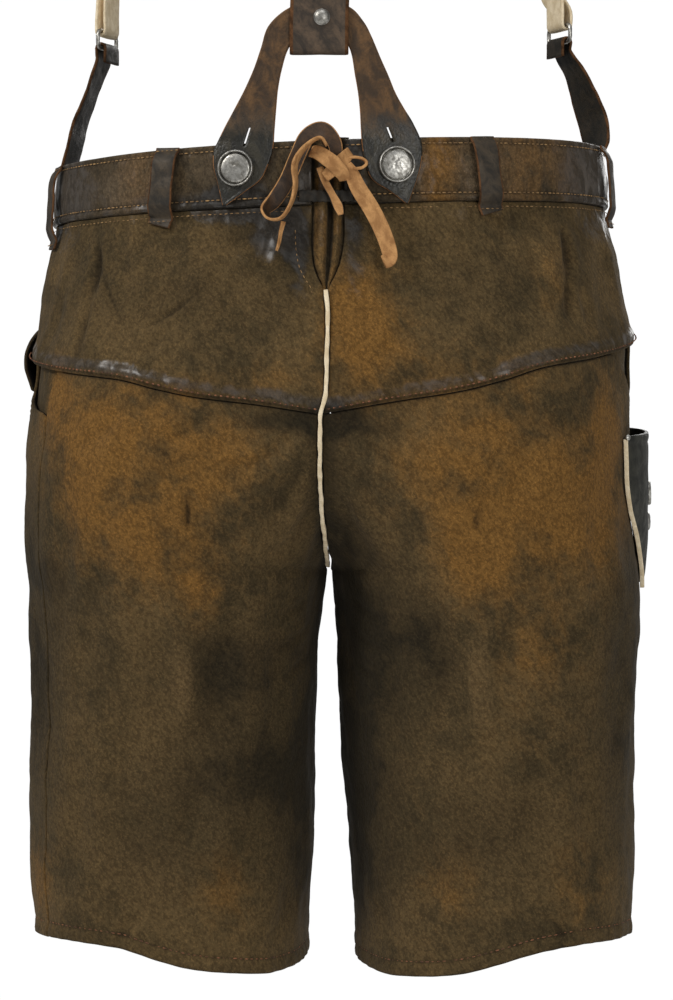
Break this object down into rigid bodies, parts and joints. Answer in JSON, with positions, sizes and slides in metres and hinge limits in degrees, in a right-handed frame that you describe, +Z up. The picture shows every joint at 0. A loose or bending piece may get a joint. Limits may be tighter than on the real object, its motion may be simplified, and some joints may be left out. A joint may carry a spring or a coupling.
{
  "type": "knee-length suede lederhosen with leather braces, worn shape",
  "caption": "Knee-length suede lederhosen with seat yoke, laced back, knife pocket, buttoned waistband and leather braces, holding their worn shape.",
  "frame": {"origin": "middle of the waistband ring, halfway up the band", "axes": "+Z up, -Y the seat side, +Y the front, +X the wearer's right"},
  "size_m": [0.388, 0.263, 0.9135],
  "materials": {
    "brown_suede": "napped, oiled and worn suede, patchy brown to olive black",
    "waxed_suede": "dark waxed suede with a dull blue-grey gloss at the edges",
    "dark_leather": "dark brown grain leather with greasy highlights",
    "cream_leather": "undyed cream leather, soiled",
    "tan_thong": "tan flesh side, dark brown grain side",
    "pocket_leather": "grey-green oiled leather",
    "old_silver": "oxidised silver-coloured metal, hammered"
  },
  "bodies": {
    "root": {"seat_yoke_left": "brown_suede", "seat_yoke_right": "brown_suede", "back_leg_left": "brown_suede", "back_leg_right": "brown_suede", "front_leg_left": "brown_suede", "front_leg_right": "brown_suede", "side_facing_left": "brown_suede", "side_facing_right": "brown_suede", "front_flap": "brown_suede", "back_gusset": "brown_suede", "pocket_lip_left": "brown_suede", "waistband_left": "waxed_suede", "waistband_right": "waxed_suede", "belt_loop_left": "waxed_suede", "belt_loop_right": "waxed_suede", "belt_loop_left_side": "waxed_suede", "belt_loop_right_side": "waxed_suede", "wishbone": "dark_leather", "back_strap": "dark_leather", "y_piece": "dark_leather", "front_tab_left": "dark_leather", "front_tab_right": "dark_leather", "lace_keeper": "dark_leather", "seat_piping": "cream_leather", "knife_pocket_piping": "cream_leather", "shoulder_strap_left": "cream_leather", "shoulder_strap_right": "cream_leather", "lace_knot": "tan_thong", "lace_bow_loop": "tan_thong", "lace_long_end": "tan_thong", "lace_short_end": "tan_thong", "lace_small_loop": "tan_thong", "knife_pocket": "pocket_leather", "back_button_left": "old_silver", "back_button_right": "old_silver", "strap_rivet": "old_silver", "brace_ring_left": "old_silver", "brace_ring_right": "old_silver", "tab_button_left": "old_silver", "tab_button_right": "old_silver", "flap_button_left": "old_silver", "flap_button_right": "old_silver", "knife_pocket_button": "old_silver", "knife_pocket_plate": "old_silver"}
  },
  "joints": []
}
